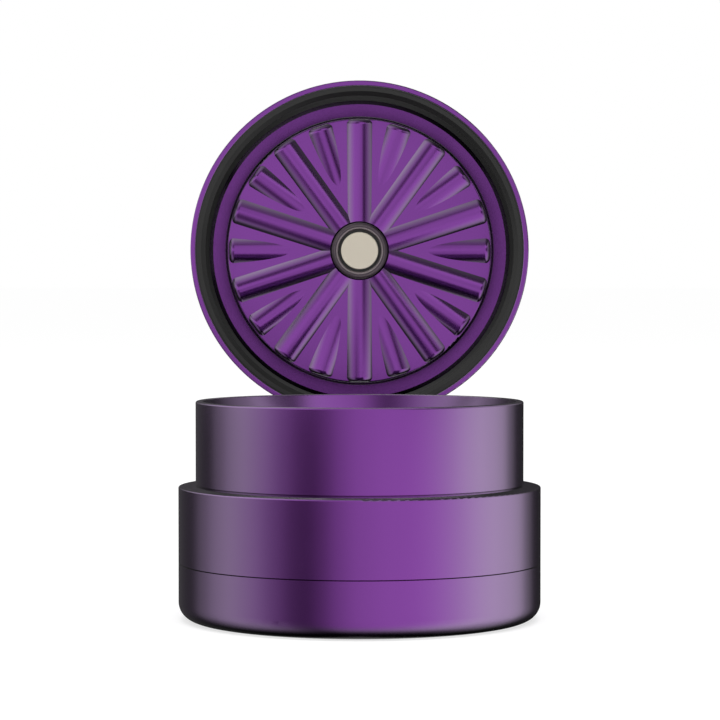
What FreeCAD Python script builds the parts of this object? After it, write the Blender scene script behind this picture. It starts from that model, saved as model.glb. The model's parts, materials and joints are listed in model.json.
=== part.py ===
"""Hand mill for dry herbs: catch cup, mill body with a lift-out stator, and a lid that carries the rotor.

Millimetres, +Z up.  The origin is the middle of the cup's underside.  The lid is shown taken off and
standing on edge behind the body, mouth towards -Y.
"""
import FreeCAD, Part
import os
from math import cos, radians, sin, sqrt, tan

Vector = FreeCAD.Vector

# Outside of the cup and the mill body
outer_radius = 31.5
cup_height = 10.0
collar_height = 13.1
neck_height = 14.8
shoulder_width = 3.0
bottom_round = 3.1
shoulder_round = 0.25
neck_lip_round = 0.3
seam_groove_height = 0.2
seam_groove_depth = 0.6
edge_break = 0.18
root_groove_height = 0.45
root_groove_depth = 0.35

# Catch cup and its push fit
cup_floor = 2.4
cup_floor_round = 4.0
spigot_step = 3.5
spigot_wall = 2.0
spigot_height = 4.6
spigot_lead = 0.5
spigot_clearance = 0.15
socket_end_gap = 0.4
seal_cord = 1.3
seal_clearance = 0.08
seal_groove_side_gap = 0.1

# Bowl and stator
neck_wall = 2.8
mouth_cone_width = 1.6
mouth_cone_depth = 3.4
mouth_edge_round = 0.25
ledge_width = 4.1
ledge_height = 2.4
stator_edge_thickness = 3.2
stator_clearance = 0.3
stator_dish = 1.0
stator_ridge_count = 12
stator_ridge_radius = 1.6
stator_ridge_round = 0.9
stator_rim_band = 1.2
slot_width = 2.6
slot_start = 9.5
slot_rim_wall = 5.0
milling_gap = 0.5
pin_count = 3
pin_radius = 1.0
pin_length = 3.6
pin_in_ledge = 1.9
pin_hole_clearance = 0.15
pin_hole_extra = 0.3

# Stator hub
stator_boss_radius = 5.9
stator_flange_radius = 5.3
stator_flange_thickness = 1.8
stator_hub_rise = 0.4
stator_shank_radius = 3.2
nut_across_flats = 10.0
nut_height = 1.8
nut_end_length = 0.4

# Lid
lid_seat_gap = 0.3
neck_top_gap = 0.5
lid_top_thickness = 4.0
lid_top_round = 3.1
lid_rim_round = 0.2
lid_dish_depth = 0.5
lid_dish_border = 5.0
rim_width = 0.95
rim_lip_height = 0.6
rim_lip_overhang = 0.3
land_inset = 0.45
land_chamfer_depth = 1.4

# Flanged glide ring that lines the lid's bore
glide_height = 3.0
glide_clearance = 0.25
glide_running_gap = 0.15
glide_face_recess = 0.25
glide_lead = 0.8
glide_edge_round = 0.15
glide_liner_wall = 0.6
glide_liner_end_gap = 0.3

# Rotor
rotor_gap = 0.5
rotor_thickness = 4.5
rotor_proud = 2.5
rotor_edge_round = 0.3
cone_rise = 0.3
ridge_pair_count = 10
ridge_radius = 2.8
ridge_sink = 1.4
ridge_end_round = 0.9
ridge_inset = 0.2
short_ridge_start = 13.2
ridge_root_cover = 0.6
drive_pin_count = 3
drive_pin_radius = 1.5
drive_pin_circle = 16.0
drive_pin_depth = 1.8

# Rotor hub and its magnet
hub_flange_radius = 5.35
hub_flange_thickness = 1.9
hub_flange_round = 0.55
hub_recess_gap = 0.25
hub_shank_radius = 4.7
hub_front_recess = 0.5
hub_spigot_depth = 1.2
magnet_radius = 3.56
magnet_thickness = 2.2
magnet_proud = 0.05
sleeve_wall = 0.45
sleeve_recess = 0.35
screw_radius = 1.5
screw_length = 5.4
screw_head_radius = 2.7
screw_socket_across_flats = 2.0
screw_socket_depth = 0.9
screw_end_gap = 0.25
fit_clearance = 0.03

# Where the lid stands in the picture
lid_rim_y = 33.6
lid_centre_z = 64.5

# Radii that follow from the sizes above
neck_radius = outer_radius - shoulder_width
bowl_radius = neck_radius - neck_wall
spigot_radius = outer_radius - spigot_step
cup_bore_radius = spigot_radius - spigot_wall
socket_radius = spigot_radius + spigot_clearance
seal_outer_radius = socket_radius - seal_clearance
ledge_radius = bowl_radius - ledge_width
stator_radius = bowl_radius - stator_clearance
pin_circle = (ledge_radius + stator_radius) / 2
land_radius = neck_radius - land_inset
mouth_radius = outer_radius - rim_width
glide_pocket_radius = mouth_radius + rim_lip_overhang
glide_bore_radius = neck_radius + glide_clearance
glide_liner_radius = glide_bore_radius + glide_liner_wall
lid_bore_radius = glide_liner_radius + glide_running_gap
rotor_radius = bowl_radius - rotor_gap
rotor_pocket_radius = rotor_radius + rotor_gap
ridge_tip = rotor_radius - ridge_inset
hub_recess_radius = hub_flange_radius + hub_recess_gap
sleeve_radius = magnet_radius + fit_clearance + sleeve_wall
hub_pocket_radius = sleeve_radius + fit_clearance

# Heights of the cup and the body, from the table up
seam_z = cup_height
shoulder_z = seam_z + collar_height
neck_top_z = shoulder_z + neck_height
socket_top_z = seam_z + spigot_height + socket_end_gap

# Depths inside the lid, from its rim inwards
land_depth = neck_height - lid_seat_gap + neck_top_gap
rotor_edge_depth = land_depth - rotor_proud
rotor_back_depth = rotor_edge_depth + rotor_thickness
lid_height = rotor_back_depth + lid_top_thickness
ridge_axis_depth = rotor_edge_depth + ridge_sink
ridge_top_depth = ridge_axis_depth - ridge_radius
hub_front_depth = ridge_top_depth + hub_front_recess
hub_seat_depth = hub_front_depth + hub_flange_thickness
hub_end_depth = rotor_back_depth + hub_spigot_depth
magnet_front_depth = hub_front_depth - magnet_proud
magnet_back_depth = magnet_front_depth + magnet_thickness
glide_pocket_depth = glide_face_recess + glide_height + glide_running_gap

# Heights of the stator: its ridges just clear the rotor's when the lid is seated
stator_ridge_top_z = shoulder_z + lid_seat_gap + ridge_top_depth - milling_gap
stator_edge_z = stator_ridge_top_z - stator_ridge_radius
ledge_z = stator_edge_z - stator_edge_thickness
stator_hub_top_z = stator_ridge_top_z + stator_hub_rise
stator_hub_seat_z = stator_hub_top_z - stator_flange_thickness


def corner_arc(before, corner, after, radius):
    """Start, middle and end of the arc that rounds one corner."""
    to_before = (before - corner).normalize()
    to_after = (after - corner).normalize()
    half_angle = to_before.getAngle(to_after) / 2
    bisector = (to_before + to_after).normalize()
    reach = radius / tan(half_angle)
    middle = corner + bisector * (radius / sin(half_angle) - radius)
    return corner + to_before * reach, middle, corner + to_after * reach


def turned(corners):
    """Solid turned about Z from a closed outline of (radius, height) or (radius, height, rounding)."""
    points = [Vector(corner[0], 0, corner[1]) for corner in corners]
    stretches = []
    for i, corner in enumerate(corners):
        if len(corner) > 2:
            following = points[(i + 1) % len(points)]
            stretches.append(corner_arc(points[i - 1], points[i], following, corner[2]))
        else:
            stretches.append((points[i],))
    edges = []
    for i, stretch in enumerate(stretches):
        edges.append(Part.LineSegment(stretches[i - 1][-1], stretch[0]).toShape())
        if len(stretch) > 1:
            edges.append(Part.Arc(*stretch).toShape())
    return Part.Face(Part.Wire(edges)).revolve(Vector(), Vector(0, 0, 1), 360)


def cylinder(radius, low, high, x=0, y=0):
    return Part.makeCylinder(radius, high - low, Vector(x, y, low))


def ring(inner, outer, low, high):
    return turned([(inner, low), (outer, low), (outer, high), (inner, high)])


def around(shape, count, first=0):
    """Copies of a shape spaced evenly about Z."""
    copies = []
    for i in range(count):
        copy = shape.copy()
        copy.rotate(Vector(), Vector(0, 0, 1), first + 360 / count * i)
        copies.append(copy)
    return copies


def hexagon(across_flats, low, high):
    """Hexagonal prism about Z."""
    corner_radius = across_flats / sqrt(3)
    corners = [
        Vector(corner_radius * cos(radians(60 * i)), corner_radius * sin(radians(60 * i)), low)
        for i in range(7)
    ]
    return Part.Face(Part.makePolygon(corners)).extrude(Vector(0, 0, high - low))


def radial_bar(radius, start, tip, start_z, tip_z, end_round):
    """Round bar along +X whose axis runs from (start, start_z) to (tip, tip_z)."""
    run = Vector(tip - start, 0, tip_z - start_z)
    bar = turned([(0, 0), (radius, 0), (radius, run.Length, end_round), (0, run.Length)])
    bar.Placement = FreeCAD.Placement(Vector(start, 0, start_z), FreeCAD.Rotation(Vector(0, 0, 1), run))
    return bar


def catch_cup():
    """Cup with a rounded floor, and the spigot that pushes into the body."""
    spigot_top = seam_z + spigot_height
    seal_z = seam_z + spigot_height / 2
    groove_half = seal_cord / 2 + seal_groove_side_gap
    cup = turned([
        (0, 0),
        (outer_radius, 0, bottom_round),
        (outer_radius, seam_z - seam_groove_height),
        (outer_radius - seam_groove_depth, seam_z - seam_groove_height),
        (outer_radius - seam_groove_depth, seam_z),
        (spigot_radius, seam_z),
        (spigot_radius, spigot_top, spigot_lead),
        (cup_bore_radius, spigot_top, spigot_lead),
        (cup_bore_radius, cup_floor, cup_floor_round),
        (0, cup_floor),
    ])
    groove_floor = seal_outer_radius - seal_cord - fit_clearance
    return cup.cut(ring(groove_floor, spigot_radius + 1, seal_z - groove_half, seal_z + groove_half))


def catch_seal():
    """Ring seal in the spigot's groove."""
    cord_radius = seal_cord / 2
    return Part.makeTorus(
        seal_outer_radius - cord_radius, cord_radius, Vector(0, 0, seam_z + spigot_height / 2)
    )


def mill_body():
    """Collar and neck: socket below, ledge for the stator, bowl with a coned mouth above."""
    throat_low = ledge_z - ledge_height
    throat_start = throat_low - (cup_bore_radius - ledge_radius)
    body = turned([
        (socket_radius, seam_z, edge_break),
        (outer_radius, seam_z),
        (outer_radius, shoulder_z, shoulder_round),
        (neck_radius - root_groove_depth, shoulder_z),
        (neck_radius - root_groove_depth, shoulder_z + root_groove_height),
        (neck_radius, shoulder_z + root_groove_height),
        (neck_radius, neck_top_z, neck_lip_round),
        (bowl_radius + mouth_cone_width, neck_top_z, mouth_edge_round),
        (bowl_radius, neck_top_z - mouth_cone_depth),
        (bowl_radius, ledge_z),
        (ledge_radius, ledge_z),
        (ledge_radius, throat_low),
        (cup_bore_radius, throat_start),
        (cup_bore_radius, socket_top_z),
        (socket_radius, socket_top_z),
    ])
    pin_holes = around(
        cylinder(pin_radius + fit_clearance, ledge_z - pin_in_ledge, ledge_z + 1, x=pin_circle), pin_count, 90
    )
    return body.cut(pin_holes)


def stator_pins():
    """Pins in the ledge that keep the stator from turning."""
    low = ledge_z - pin_in_ledge
    return around(cylinder(pin_radius, low, low + pin_length, x=pin_circle), pin_count, 90)


def stator_plate():
    """Dished plate with radial ridges and a slot between each two, for what has been milled."""
    plate = turned([
        (0, ledge_z),
        (stator_radius, ledge_z, edge_break),
        (stator_radius, stator_edge_z, edge_break),
        (stator_radius - stator_rim_band, stator_edge_z),
        (stator_boss_radius, stator_edge_z - stator_dish),
        (stator_boss_radius, stator_hub_seat_z),
        (0, stator_hub_seat_z),
    ])
    bar = radial_bar(
        stator_ridge_radius, stator_boss_radius / 2, stator_radius - stator_rim_band,
        stator_edge_z, stator_edge_z, stator_ridge_round,
    )
    clear_of_hub = cylinder(stator_boss_radius, stator_hub_seat_z, stator_ridge_top_z + 1)
    plate = plate.fuse(around(bar, stator_ridge_count)).cut(clear_of_hub)
    half_width = slot_width / 2
    slot_end = stator_radius - slot_rim_wall
    slot = Part.makeBox(
        slot_end - slot_start - slot_width, slot_width, stator_ridge_top_z - ledge_z + 2,
        Vector(slot_start + half_width, -half_width, ledge_z - 1),
    )
    for x in (slot_start + half_width, slot_end - half_width):
        slot = slot.fuse(cylinder(half_width, ledge_z - 1, stator_ridge_top_z + 1, x=x))
    slots = around(slot, stator_ridge_count, 180 / stator_ridge_count)
    pin_hole_top = ledge_z - pin_in_ledge + pin_length + pin_hole_extra
    pin_hole = cylinder(pin_radius + pin_hole_clearance, ledge_z - 1, pin_hole_top, x=pin_circle)
    shank_hole = cylinder(stator_shank_radius + fit_clearance, ledge_z - 1, stator_hub_seat_z + 1)
    return plate.cut(slots + around(pin_hole, pin_count, 90) + [shank_hole])


def stator_hub():
    """Flanged stud in the middle of the stator, with a pocket for its magnet."""
    shank_end = ledge_z - nut_height - nut_end_length
    pocket_floor = stator_hub_seat_z + fit_clearance
    return turned([
        (0, shank_end),
        (stator_shank_radius, shank_end),
        (stator_shank_radius, stator_hub_seat_z),
        (stator_flange_radius, stator_hub_seat_z),
        (stator_flange_radius, stator_hub_top_z, hub_flange_round),
        (magnet_radius + fit_clearance, stator_hub_top_z),
        (magnet_radius + fit_clearance, pocket_floor),
        (0, pocket_floor),
    ])


def stator_magnet():
    """Disc magnet that draws the lid's magnet down."""
    return cylinder(magnet_radius, stator_hub_seat_z + fit_clearance, stator_hub_top_z - magnet_proud)


def stator_hub_nut():
    """Nut that holds the hub under the stator."""
    nut = hexagon(nut_across_flats, ledge_z - nut_height, ledge_z)
    return nut.cut(cylinder(stator_shank_radius + fit_clearance, ledge_z - nut_height - 1, ledge_z + 1))


def lid_shell():
    """Cap: rim with a snap lip, bore for the glide ring, flat land, and the pocket behind the rotor."""
    shell = turned([
        (mouth_radius, 0, lid_rim_round),
        (outer_radius, 0, lid_rim_round),
        (outer_radius, lid_height, lid_top_round),
        (outer_radius - lid_dish_border, lid_height),
        (outer_radius - lid_dish_border - lid_dish_depth, lid_height - lid_dish_depth),
        (0, lid_height - lid_dish_depth),
        (0, rotor_back_depth),
        (rotor_pocket_radius, rotor_back_depth),
        (rotor_pocket_radius, land_depth),
        (land_radius, land_depth),
        (lid_bore_radius, land_depth + land_chamfer_depth),
        (lid_bore_radius, glide_pocket_depth),
        (glide_pocket_radius, glide_pocket_depth),
        (glide_pocket_radius, rim_lip_height),
        (mouth_radius, rim_lip_height),
    ])
    hub_hole = cylinder(hub_shank_radius + fit_clearance, rotor_back_depth - 1, hub_end_depth + fit_clearance)
    screw_end = screw_head_depth() + screw_length + screw_end_gap
    screw_hole = cylinder(screw_radius + fit_clearance, rotor_back_depth, screw_end)
    return shell.cut(drive_pin_bores() + [hub_hole, screw_hole])


def glide_ring():
    """Flanged plastic bush that slides on the neck; the lid turns round it."""
    back = glide_face_recess + glide_height
    liner_end = land_depth - glide_liner_end_gap
    step = rim_lip_height + glide_running_gap
    return turned([
        (glide_bore_radius + glide_lead, glide_face_recess),
        (mouth_radius - glide_running_gap, glide_face_recess, glide_edge_round),
        (mouth_radius - glide_running_gap, step),
        (glide_pocket_radius - glide_running_gap, step),
        (glide_pocket_radius - glide_running_gap, back),
        (glide_liner_radius, back),
        (glide_liner_radius, liner_end),
        (glide_bore_radius, liner_end),
        (glide_bore_radius, glide_face_recess + glide_lead),
    ])


def rotor():
    """Coned disc with long ridges to the hub and short ones between them."""
    cone_slope = cone_rise / (rotor_radius - hub_recess_radius)
    disc = turned([
        (0, rotor_back_depth),
        (0, rotor_edge_depth - cone_rise),
        (hub_recess_radius, rotor_edge_depth - cone_rise),
        (rotor_radius, rotor_edge_depth, rotor_edge_round),
        (rotor_radius, rotor_back_depth),
    ])
    long_bar = radial_bar(
        ridge_radius, hub_shank_radius, ridge_tip, ridge_axis_depth, ridge_axis_depth, ridge_end_round
    )
    start_face_depth = rotor_edge_depth - cone_slope * (rotor_radius - short_ridge_start)
    short_bar = radial_bar(
        ridge_radius, short_ridge_start, ridge_tip,
        start_face_depth + ridge_radius, ridge_axis_depth, ridge_end_round,
    )
    front_of_back = cylinder(rotor_radius, 0, rotor_back_depth - ridge_root_cover)
    ridges = around(long_bar, ridge_pair_count, 90)
    ridges += around(short_bar, ridge_pair_count, 90 + 180 / ridge_pair_count)
    disc = disc.fuse([bar.common(front_of_back) for bar in ridges])
    recess = cylinder(hub_recess_radius, 0, hub_seat_depth)
    hole = cylinder(hub_shank_radius + fit_clearance, 0, rotor_back_depth + 1)
    return disc.cut([recess, hole] + drive_pin_bores())


def drive_pin_bores():
    low = rotor_back_depth - drive_pin_depth
    high = rotor_back_depth + drive_pin_depth
    bore = cylinder(drive_pin_radius + fit_clearance, low, high, x=drive_pin_circle)
    return around(bore, drive_pin_count, 90)


def drive_pins():
    """Pins between the lid and the rotor's back, so that the lid turns the rotor."""
    low = rotor_back_depth - drive_pin_depth + fit_clearance
    high = rotor_back_depth + drive_pin_depth - fit_clearance
    return around(cylinder(drive_pin_radius, low, high, x=drive_pin_circle), drive_pin_count, 90)


def hub_pocket_floor():
    return magnet_back_depth + fit_clearance


def screw_head_depth():
    return hub_pocket_floor() + fit_clearance


def screw_outline(clearance):
    """Countersunk screw's half outline, from the head's face inwards."""
    head = screw_head_depth()
    neck = head + screw_head_radius - screw_radius
    end = head + screw_length
    return [
        (0, head),
        (screw_head_radius + clearance, head),
        (screw_radius + clearance, neck),
        (screw_radius + clearance, end),
        (0, end),
    ]


def rotor_hub():
    """Flanged bush that clamps the rotor to the lid and holds the magnet."""
    hub = turned([
        (0, hub_pocket_floor()),
        (hub_pocket_radius, hub_pocket_floor()),
        (hub_pocket_radius, hub_front_depth, hub_flange_round / 2),
        (hub_flange_radius, hub_front_depth, hub_flange_round),
        (hub_flange_radius, hub_seat_depth),
        (hub_shank_radius, hub_seat_depth),
        (hub_shank_radius, hub_end_depth),
        (0, hub_end_depth),
    ])
    lead_in = cylinder(screw_head_radius + fit_clearance, hub_pocket_floor() - 1, screw_head_depth())
    return hub.cut([turned(screw_outline(fit_clearance)), lead_in])


def hub_screw():
    """Countersunk screw under the magnet."""
    head = screw_head_depth()
    socket = hexagon(screw_socket_across_flats, head - 1, head + screw_socket_depth)
    return turned(screw_outline(0)).cut(socket)


def lid_magnet():
    return turned([
        (0, magnet_front_depth),
        (magnet_radius, magnet_front_depth, edge_break),
        (magnet_radius, magnet_back_depth),
        (0, magnet_back_depth),
    ])


def magnet_sleeve():
    """Dark sleeve round the magnet, set back from its face."""
    front = hub_front_depth + sleeve_recess
    return ring(magnet_radius + fit_clearance, sleeve_radius, front, magnet_back_depth)


def stand_lid_up(shape):
    """Move a lid piece from the lid's own depth axis to where the lid stands behind the body."""
    turn = FreeCAD.Rotation(Vector(1, 0, 0), -90)
    shape.Placement = FreeCAD.Placement(Vector(0, lid_rim_y, lid_centre_z), turn).multiply(shape.Placement)
    return shape


def main():
    pieces = {
        "catch_cup": catch_cup(),
        "catch_seal": catch_seal(),
        "mill_body": mill_body(),
        "stator_plate": stator_plate(),
        "stator_hub": stator_hub(),
        "stator_hub_nut": stator_hub_nut(),
        "stator_magnet": stator_magnet(),
    }
    for number, pin in enumerate(stator_pins(), start=1):
        pieces[f"stator_pin_{number}"] = pin
    lid_pieces = {
        "lid_shell": lid_shell(),
        "glide_ring": glide_ring(),
        "rotor": rotor(),
        "rotor_hub": rotor_hub(),
        "hub_screw": hub_screw(),
        "magnet_sleeve": magnet_sleeve(),
        "lid_magnet": lid_magnet(),
    }
    for number, pin in enumerate(drive_pins(), start=1):
        lid_pieces[f"drive_pin_{number}"] = pin
    for name, shape in lid_pieces.items():
        pieces[name] = stand_lid_up(shape)
    os.makedirs("parts", exist_ok=True)
    for name, shape in pieces.items():
        shape.exportStep(f"parts/{name}.step")
        print(name, len(shape.Solids), "solid", round(shape.Volume, 2), "mm3", shape.isValid())


main()
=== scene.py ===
import json
from math import pi, radians

import bpy
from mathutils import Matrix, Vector

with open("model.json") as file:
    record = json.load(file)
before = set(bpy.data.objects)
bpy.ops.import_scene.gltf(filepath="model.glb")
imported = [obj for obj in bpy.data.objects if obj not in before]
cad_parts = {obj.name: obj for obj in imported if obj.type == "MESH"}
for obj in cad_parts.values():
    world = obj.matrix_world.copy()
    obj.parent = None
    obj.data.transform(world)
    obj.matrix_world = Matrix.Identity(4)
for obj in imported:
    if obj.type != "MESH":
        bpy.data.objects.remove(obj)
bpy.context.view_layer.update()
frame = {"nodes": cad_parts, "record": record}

nodes = frame["nodes"]

# Camera, solved from the silhouette and rings of the object (metres, pixels of a 720 px square image)
IMAGE_PX = 720
FOCAL_PX = 2713.5
CAMERA_DISTANCE = 0.4718
CAMERA_HEIGHT = 0.05845
CAMERA_PITCH_DEG = 1.636
OBJECT_CENTRE_PX = 359.55
SENSOR_MM = 36.0

# Studio
TENT_RADIUS = 0.15
TENT_CENTRE = (0.0, 0.0, 0.04)
LID_TIER_LOW = 0.003
LID_TIER_HIGH = 0.080
TENT_FLOOR_FADE = (-0.145, -0.122)
TENT_TOP_FADE = (0.125, 0.145)
TENT_DARK = 0.04
CEILING_LOW = 0.095
CEILING_FRONT = -0.05
CEILING_SIDE = 0.06
CEILING_LEVELS = (0.80, 0.10)
BACK_PANEL_TURN_DEG = (161, 173)
BACK_PANEL_LOW = (-0.030, -0.012)
BACK_PANEL_HIGH = (0.035, 0.060)
BACK_PANEL_LEVEL = 0.60
FLOOR_HALF = 30.0
FLOOR_GREY = (0.9, 0.9, 0.9)
FLOOR_ROUGHNESS = 0.9
FLOOR_GLOW = 1.25
FLOOR_GLOW_SHARE = 0.55
WORLD_LIGHT = 0.75
WORLD_VIEW = 1.0
LAMP_PLACE = (0.0, -0.1, 1.0)
LAMP_TARGET = (0, 0, 0.03)
LAMP_SIZE = 0.9
LAMP_POWER = 6.0

# Brightness of the tent's wall by compass angle: 0 faces the front of the mill, 90 its right side
BASE_WALL = [
    (-180, 0.03), (-150, 0.06), (-120, 0.04), (-104, 0.24), (-91, 0.48), (-78, 0.62),
    (-62, 0.64), (-48, 0.46), (-37, 0.23), (-29, 0.17), (-20, 0.38), (-12, 0.74),
    (0, 1.05), (18, 1.20), (45, 1.32), (66, 1.22), (82, 1.06), (96, 0.92),
    (108, 0.72), (120, 0.22), (132, 0.02), (180, 0.02),
]
LID_WALL = [
    (-180, 0.03), (-150, 0.10), (-135, 0.30), (-117, 0.65), (-91, 1.00), (-60, 1.26),
    (-30, 1.24), (0, 1.06), (18, 1.00), (28, 0.70), (37, 0.20), (44, 0.06),
    (52, 0.12), (64, 0.42), (88, 0.58), (117, 0.45), (135, 0.22), (150, 0.06), (180, 0.03),
]

# Shells that would keep the tent's panels off the rotor and the bowl
OUT_OF_REFLECTIONS = ("mill_body", "lid_shell", "glide_ring", "rotor")

# Painted shade: how far into a corner the colour and coat are darkened
CREVICE_SHADE_REACH = 0.012
CREVICE_SHADE_DARK = 0.15
CREVICE_SHADE_CLEAR = 0.52
CREVICE_SHADE_SAMPLES = 8

# Painted edge highlight of the hubs: lighter edges that also stand for worn plating
EDGE_HIGHLIGHT_REACH = 0.00055
EDGE_HIGHLIGHT_START = 0.002
EDGE_HIGHLIGHT_FULL = 0.020
EDGE_HIGHLIGHT_SAMPLES = 8

# Colours, linear
PURPLE = (0.190, 0.052, 0.285)
PURPLE_DEEP = (0.178, 0.048, 0.268)
CHARCOAL = (0.008, 0.008, 0.0075)
RUBBER = (0.010, 0.010, 0.010)
GUNMETAL = (0.052, 0.034, 0.050)
GUNMETAL_EDGE_HIGHLIGHT = (0.480, 0.410, 0.410)
NICKEL = (0.810, 0.745, 0.620)
STAINLESS = (0.550, 0.550, 0.550)

# Grain and mottling of the finishes; scales are in cycles per metre
CLOUD_DETAIL = 3.0
ROUGHNESS_SPREAD = 0.04
GRAIN_HEIGHT = 0.00003
BLAST_HEIGHT = 0.00002
HUB_ROUGHNESS = 0.40
PLAIN_FINISHES = {
    "glide_black": dict(
        colour=CHARCOAL, cloud_shade=0.85, metallic=0.0, rough=0.45,
        cloud_scale=200.0, grain_scale=6000.0, grain=0.1,
    ),
    "seal_black": dict(
        colour=RUBBER, cloud_shade=1.4, metallic=0.0, rough=0.6,
        cloud_scale=300.0, grain_scale=5000.0, grain=0.15,
    ),
    "nickel": dict(
        colour=NICKEL, cloud_shade=0.97, metallic=0.6, rough=0.5,
        cloud_scale=120.0, grain_scale=7000.0, grain=0.04,
    ),
    "fastener_steel": dict(
        colour=STAINLESS, cloud_shade=0.9, metallic=1.0, rough=0.3,
        cloud_scale=150.0, grain_scale=8000.0, grain=0.05,
    ),
}


class Nodes:
    """Short hand for building one material's node tree."""

    def __init__(self, name):
        self.material = bpy.data.materials.new(name)
        self.material.use_nodes = True
        self.tree = self.material.node_tree
        self.shader = self.tree.nodes["Principled BSDF"]
        self.output = self.tree.nodes["Material Output"]

    def add(self, kind, inputs=None, **settings):
        node = self.tree.nodes.new(kind)
        for key, value in settings.items():
            setattr(node, key, value)
        for key, value in (inputs or {}).items():
            self.set(node, key, value)
        return node

    def set(self, node, key, value):
        socket = node.inputs[key]
        if isinstance(value, bpy.types.NodeSocket):
            self.tree.links.new(value, socket)
        elif isinstance(value, tuple) and len(value) == 3 and socket.type == "RGBA":
            socket.default_value = (*value, 1)
        else:
            socket.default_value = value

    def surface(self, **inputs):
        for key, value in inputs.items():
            self.set(self.shader, key.replace("_", " "), value)


def noise(maker, scale, detail=2.0):
    """Noise in the object's own coordinates; scale is in cycles per metre."""
    place = maker.add("ShaderNodeTexCoord")
    inputs = {"Vector": place.outputs["Object"], "Scale": scale, "Detail": detail}
    return maker.add("ShaderNodeTexNoise", inputs).outputs["Fac"]


def between(maker, factor, low, high, start=0.0, end=1.0):
    """Value from low to high as the factor goes from start to end."""
    inputs = {"Value": factor, "From Min": start, "From Max": end, "To Min": low, "To Max": high}
    return maker.add("ShaderNodeMapRange", inputs).outputs["Result"]


def tinted(maker, factor, first, second):
    mix = maker.add("ShaderNodeMix", data_type="RGBA")
    maker.tree.links.new(factor, mix.inputs[0])
    mix.inputs[6].default_value = (*first, 1)
    mix.inputs[7].default_value = (*second, 1)
    return mix.outputs[2]


def bump(maker, height, strength, distance):
    node = maker.add("ShaderNodeBump", {"Height": height, "Strength": strength, "Distance": distance})
    return node.outputs["Normal"]


def painted_crevice_shade(maker):
    """0 deep in a gap or corner, 1 on open faces: painted shade, darker where ambient occlusion finds other
    surfaces close by.
    """
    hidden = maker.add("ShaderNodeAmbientOcclusion", {"Distance": CREVICE_SHADE_REACH}, samples=CREVICE_SHADE_SAMPLES)
    return between(maker, hidden.outputs["AO"], 0.0, 1.0, CREVICE_SHADE_DARK, CREVICE_SHADE_CLEAR)


def times(maker, first, second):
    return maker.add("ShaderNodeMath", {0: first, 1: second}, operation="MULTIPLY").outputs[0]


def darkened(maker, colour, level):
    """Colour times a level from 0 to 1."""
    mix = maker.add("ShaderNodeMix", {0: level, 6: (0.0, 0.0, 0.0), 7: colour}, data_type="RGBA")
    return mix.outputs[2]


def oxide_gloss(maker):
    """The clear oxide layer hardly shows face on, and turns milky as the surface turns away."""
    edge = maker.add("ShaderNodeLayerWeight", {"Blend": 0.5})
    weight = maker.add(
        "ShaderNodeMapRange", {"Value": edge.outputs["Facing"], "From Min": 0.03, "From Max": 0.36},
        interpolation_type="SMOOTHSTEP",
    )
    return weight.outputs["Result"]


def anodised_material():
    """Satin anodised aluminium: fine blasted grain under a clear oxide layer."""
    maker = Nodes("anodised_purple")
    cloud = noise(maker, 60.0, CLOUD_DETAIL)
    grain = noise(maker, 9000.0, 1.0)
    # Painted shade: base colour and coat darkened in gaps and corners by ambient occlusion
    unshaded = painted_crevice_shade(maker)
    maker.surface(
        Base_Color=darkened(maker, tinted(maker, cloud, PURPLE_DEEP, PURPLE), unshaded),
        Metallic=1.0,
        Roughness=between(maker, cloud, 0.20, 0.26),
        Coat_Weight=times(maker, oxide_gloss(maker), unshaded),
        Coat_Roughness=0.22,
        Coat_IOR=2.4,
        Normal=bump(maker, grain, 0.04, BLAST_HEIGHT),
    )
    return maker.material


def plain_material(name, colour, cloud_shade, metallic, rough, cloud_scale, grain_scale, grain):
    maker = Nodes(name)
    cloud = noise(maker, cloud_scale, CLOUD_DETAIL)
    mottled = tinted(maker, cloud, colour, shade(colour, cloud_shade))
    # Painted shade: base colour darkened in gaps and corners by ambient occlusion
    maker.surface(
        Base_Color=darkened(maker, mottled, painted_crevice_shade(maker)),
        Metallic=metallic,
        Roughness=between(maker, cloud, rough - ROUGHNESS_SPREAD, rough + ROUGHNESS_SPREAD),
        Normal=bump(maker, noise(maker, grain_scale), grain, GRAIN_HEIGHT),
    )
    return maker.material


def edge_highlight_and_wear(maker):
    """0 on open faces, 1 along edges: a painted edge highlight, which also stands for plating that handling
    polishes off.
    """
    rounded = maker.add("ShaderNodeBevel", {"Radius": EDGE_HIGHLIGHT_REACH}, samples=EDGE_HIGHLIGHT_SAMPLES)
    plain = maker.add("ShaderNodeNewGeometry")
    along = maker.add(
        "ShaderNodeVectorMath", {0: rounded.outputs["Normal"], 1: plain.outputs["Normal"]},
        operation="DOT_PRODUCT",
    )
    return between(maker, along.outputs["Value"], 0.0, 1.0, 1.0 - EDGE_HIGHLIGHT_START, 1.0 - EDGE_HIGHLIGHT_FULL)


def hub_material():
    """Dark plated steel with bright edges: a painted edge highlight, which also stands for worn plating."""
    maker = Nodes("hub_steel")
    cloud = noise(maker, 150.0, CLOUD_DETAIL)
    # Painted edge highlight: base colour much lighter along the edges
    colour = tinted(maker, edge_highlight_and_wear(maker), GUNMETAL, GUNMETAL_EDGE_HIGHLIGHT)
    maker.surface(
        Base_Color=colour,
        Metallic=0.4,
        Roughness=between(maker, cloud, HUB_ROUGHNESS - ROUGHNESS_SPREAD, HUB_ROUGHNESS + ROUGHNESS_SPREAD),
        Normal=bump(maker, noise(maker, 8000.0), 0.05, GRAIN_HEIGHT),
    )
    return maker.material


def shade(colour, factor):
    return tuple(channel * factor for channel in colour)


def make_materials():
    materials = {"anodised_purple": anodised_material(), "hub_steel": hub_material()}
    for name, finish in PLAIN_FINISHES.items():
        materials[name] = plain_material(name, **finish)
    return materials


def dress_nodes(materials):
    slots = {part["node"]: part["material_slot"] for part in frame["record"]["subparts"]}
    for name, obj in nodes.items():
        obj.data.materials.clear()
        obj.data.materials.append(materials[slots[name]])
    for name in OUT_OF_REFLECTIONS:
        nodes[name].visible_glossy = False


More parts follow.
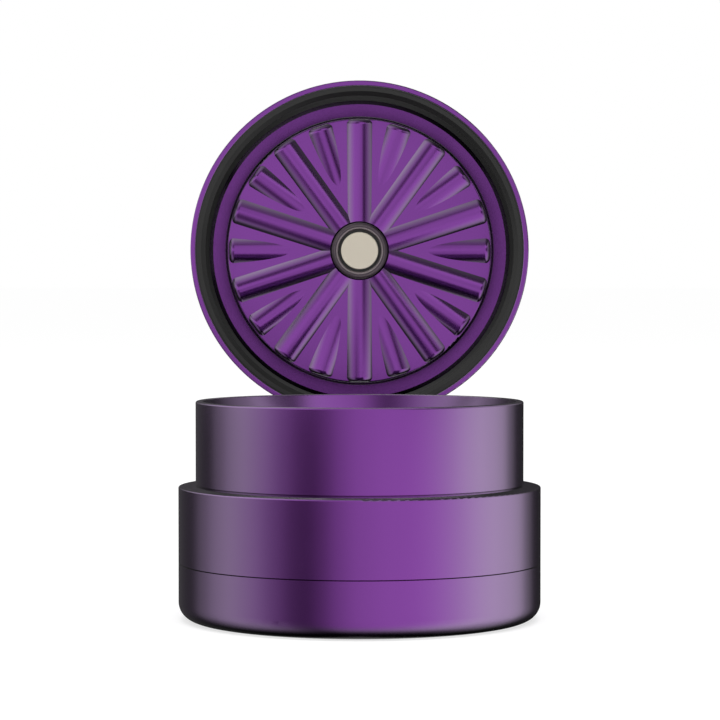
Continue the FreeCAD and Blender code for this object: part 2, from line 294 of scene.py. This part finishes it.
def make_camera():
    data = bpy.data.cameras.new("photo_camera")
    data.sensor_width = SENSOR_MM
    data.lens = FOCAL_PX / IMAGE_PX * SENSOR_MM
    data.clip_start = 0.01
    data.clip_end = 200.0
    camera = bpy.data.objects.new("photo_camera", data)
    bpy.context.scene.collection.objects.link(camera)
    side = (IMAGE_PX / 2 - OBJECT_CENTRE_PX) / FOCAL_PX * CAMERA_DISTANCE
    camera.location = (side, -CAMERA_DISTANCE, CAMERA_HEIGHT)
    camera.rotation_euler = (radians(90 - CAMERA_PITCH_DEG), 0, 0)
    bpy.context.scene.camera = camera


def make_world():
    """Plain white world: full white where it is looked at or reflected, softer where it lights."""
    world = bpy.data.worlds.new("studio")
    bpy.context.scene.world = world
    world.use_nodes = True
    world.cycles.sampling_method = "NONE"
    tree = world.node_tree
    background = tree.nodes["Background"]
    path = tree.nodes.new("ShaderNodeLightPath")
    first = tree.nodes.new("ShaderNodeMath")
    first.operation = "MAXIMUM"
    second = tree.nodes.new("ShaderNodeMath")
    second.operation = "MAXIMUM"
    tree.links.new(path.outputs["Is Camera Ray"], first.inputs[0])
    tree.links.new(path.outputs["Is Glossy Ray"], first.inputs[1])
    tree.links.new(first.outputs[0], second.inputs[0])
    tree.links.new(path.outputs["Is Transmission Ray"], second.inputs[1])
    level = tree.nodes.new("ShaderNodeMapRange")
    tree.links.new(second.outputs[0], level.inputs["Value"])
    level.inputs["To Min"].default_value = WORLD_LIGHT
    level.inputs["To Max"].default_value = WORLD_VIEW
    tree.links.new(level.outputs["Result"], background.inputs["Strength"])
    background.inputs["Color"].default_value = (1, 1, 1, 1)


def wall_levels(maker, turn, levels):
    """Colour ramp round the tent; turn goes from 0 at the back, by the left side, to 1 at the back again."""
    ramp = maker.add("ShaderNodeValToRGB", {"Fac": turn})
    ramp.color_ramp.interpolation = "EASE"
    stops = ramp.color_ramp.elements
    stops.remove(stops[1])
    stops[0].color = (levels[0][1],) * 3 + (1,)
    for degrees, level in levels[1:]:
        stop = stops.new((degrees + 180) / 360)
        stop.color = (level,) * 3 + (1,)
    return ramp.outputs["Color"]


def make_tent():
    """Round light tent that only mirror-like rays see, with one tier for the base and one for the lid."""
    bpy.ops.mesh.primitive_uv_sphere_add(segments=96, ring_count=48, radius=TENT_RADIUS, location=TENT_CENTRE)
    tent = bpy.context.object
    tent.name = "light_tent"
    maker = Nodes("light_tent")
    tree = maker.tree
    tree.nodes.remove(maker.shader)
    place = maker.add("ShaderNodeTexCoord")
    split = maker.add("ShaderNodeSeparateXYZ", {"Vector": place.outputs["Object"]})
    front = maker.add("ShaderNodeMath", {0: split.outputs["Y"], 1: -1.0}, operation="MULTIPLY")
    angle = maker.add("ShaderNodeMath", {0: split.outputs["X"], 1: front.outputs[0]}, operation="ARCTAN2")
    turn = maker.add("ShaderNodeMapRange", {"Value": angle.outputs[0], "From Min": -pi, "From Max": pi})
    height = split.outputs["Z"]
    tier_middle = (LID_TIER_LOW + LID_TIER_HIGH) / 2
    tier_half = (LID_TIER_HIGH - LID_TIER_LOW) / 2
    beside_lid = maker.add("ShaderNodeMath", {0: height, 1: tier_middle, 2: tier_half}, operation="COMPARE")
    base_wall = wall_levels(maker, turn.outputs["Result"], BASE_WALL)
    lid_wall = wall_levels(maker, turn.outputs["Result"], LID_WALL)
    wall = maker.add("ShaderNodeMix", {0: beside_lid.outputs[0], 6: base_wall, 7: lid_wall}, data_type="RGBA")
    low_fade = between(maker, height, TENT_DARK, 1.0, *TENT_FLOOR_FADE)
    top_fade = between(maker, height, 1.0, TENT_DARK, *TENT_TOP_FADE)
    wall = darkened(maker, wall.outputs[2], times(maker, low_fade, top_fade))
    back_low = between(maker, height, BACK_PANEL_LEVEL, 0.0, *BACK_PANEL_LOW)
    back_high = between(maker, height, 0.0, BACK_PANEL_LEVEL, *BACK_PANEL_HIGH)
    back_height = maker.add("ShaderNodeMath", {0: back_low, 1: back_high}, operation="ADD").outputs[0]
    off_front = maker.add("ShaderNodeMath", {0: angle.outputs[0]}, operation="ABSOLUTE")
    back_from, back_to = (radians(degrees) for degrees in BACK_PANEL_TURN_DEG)
    back_turn = between(maker, off_front.outputs[0], 0.0, 1.0, back_from, back_to)
    back_panel = times(maker, back_turn, back_height)
    wall = maker.add(
        "ShaderNodeMix", {0: 1.0, 6: wall, 7: back_panel}, data_type="RGBA", blend_type="LIGHTEN",
    ).outputs[2]
    overhead = maker.add("ShaderNodeMath", {0: height, 1: CEILING_LOW}, operation="GREATER_THAN")
    behind = maker.add("ShaderNodeMath", {0: split.outputs["Y"], 1: CEILING_FRONT}, operation="GREATER_THAN")
    ceiling = between(maker, split.outputs["X"], *CEILING_LEVELS, -CEILING_SIDE, CEILING_SIDE)
    inside = maker.add(
        "ShaderNodeMix", {0: times(maker, overhead.outputs[0], behind.outputs[0]), 6: wall, 7: ceiling},
        data_type="RGBA",
    )
    glow = maker.add("ShaderNodeEmission", {"Color": inside.outputs[2], "Strength": 1.0})
    tree.links.new(glow.outputs[0], maker.output.inputs["Surface"])
    tent.data.materials.append(maker.material)
    tent.visible_camera = False
    tent.visible_diffuse = False
    tent.visible_transmission = False
    tent.visible_shadow = False


def make_floor():
    """White floor that keeps the shadow; its glow is for the camera alone."""
    bpy.ops.mesh.primitive_plane_add(size=FLOOR_HALF * 2)
    floor = bpy.context.object
    floor.name = "floor"
    maker = Nodes("floor_white")
    maker.surface(Base_Color=FLOOR_GREY, Roughness=FLOOR_ROUGHNESS, Specular_IOR_Level=0.0)
    path = maker.add("ShaderNodeLightPath")
    view = times(maker, path.outputs["Is Camera Ray"], FLOOR_GLOW)
    glow = maker.add("ShaderNodeEmission", {"Color": (1, 1, 1), "Strength": view})
    lift = maker.add("ShaderNodeMixShader", {0: FLOOR_GLOW_SHARE})
    maker.tree.links.new(maker.shader.outputs[0], lift.inputs[1])
    maker.tree.links.new(glow.outputs[0], lift.inputs[2])
    maker.tree.links.new(lift.outputs[0], maker.output.inputs["Surface"])
    floor.data.materials.append(maker.material)
    floor.visible_glossy = False


def area_lamp(name, place, target, size, power):
    data = bpy.data.lights.new(name, "AREA")
    data.shape = "DISK"
    data.size = size
    data.energy = power
    lamp = bpy.data.objects.new(name, data)
    bpy.context.scene.collection.objects.link(lamp)
    lamp.location = place
    lamp.rotation_euler = (Vector(target) - Vector(place)).to_track_quat("-Z", "Y").to_euler()
    lamp.visible_glossy = False


def make_lamps():
    area_lamp("top_soft", LAMP_PLACE, LAMP_TARGET, LAMP_SIZE, LAMP_POWER)


make_camera()
dress_nodes(make_materials())
make_world()
make_tent()
make_floor()
make_lamps()
bpy.context.scene.view_settings.view_transform = "Standard"
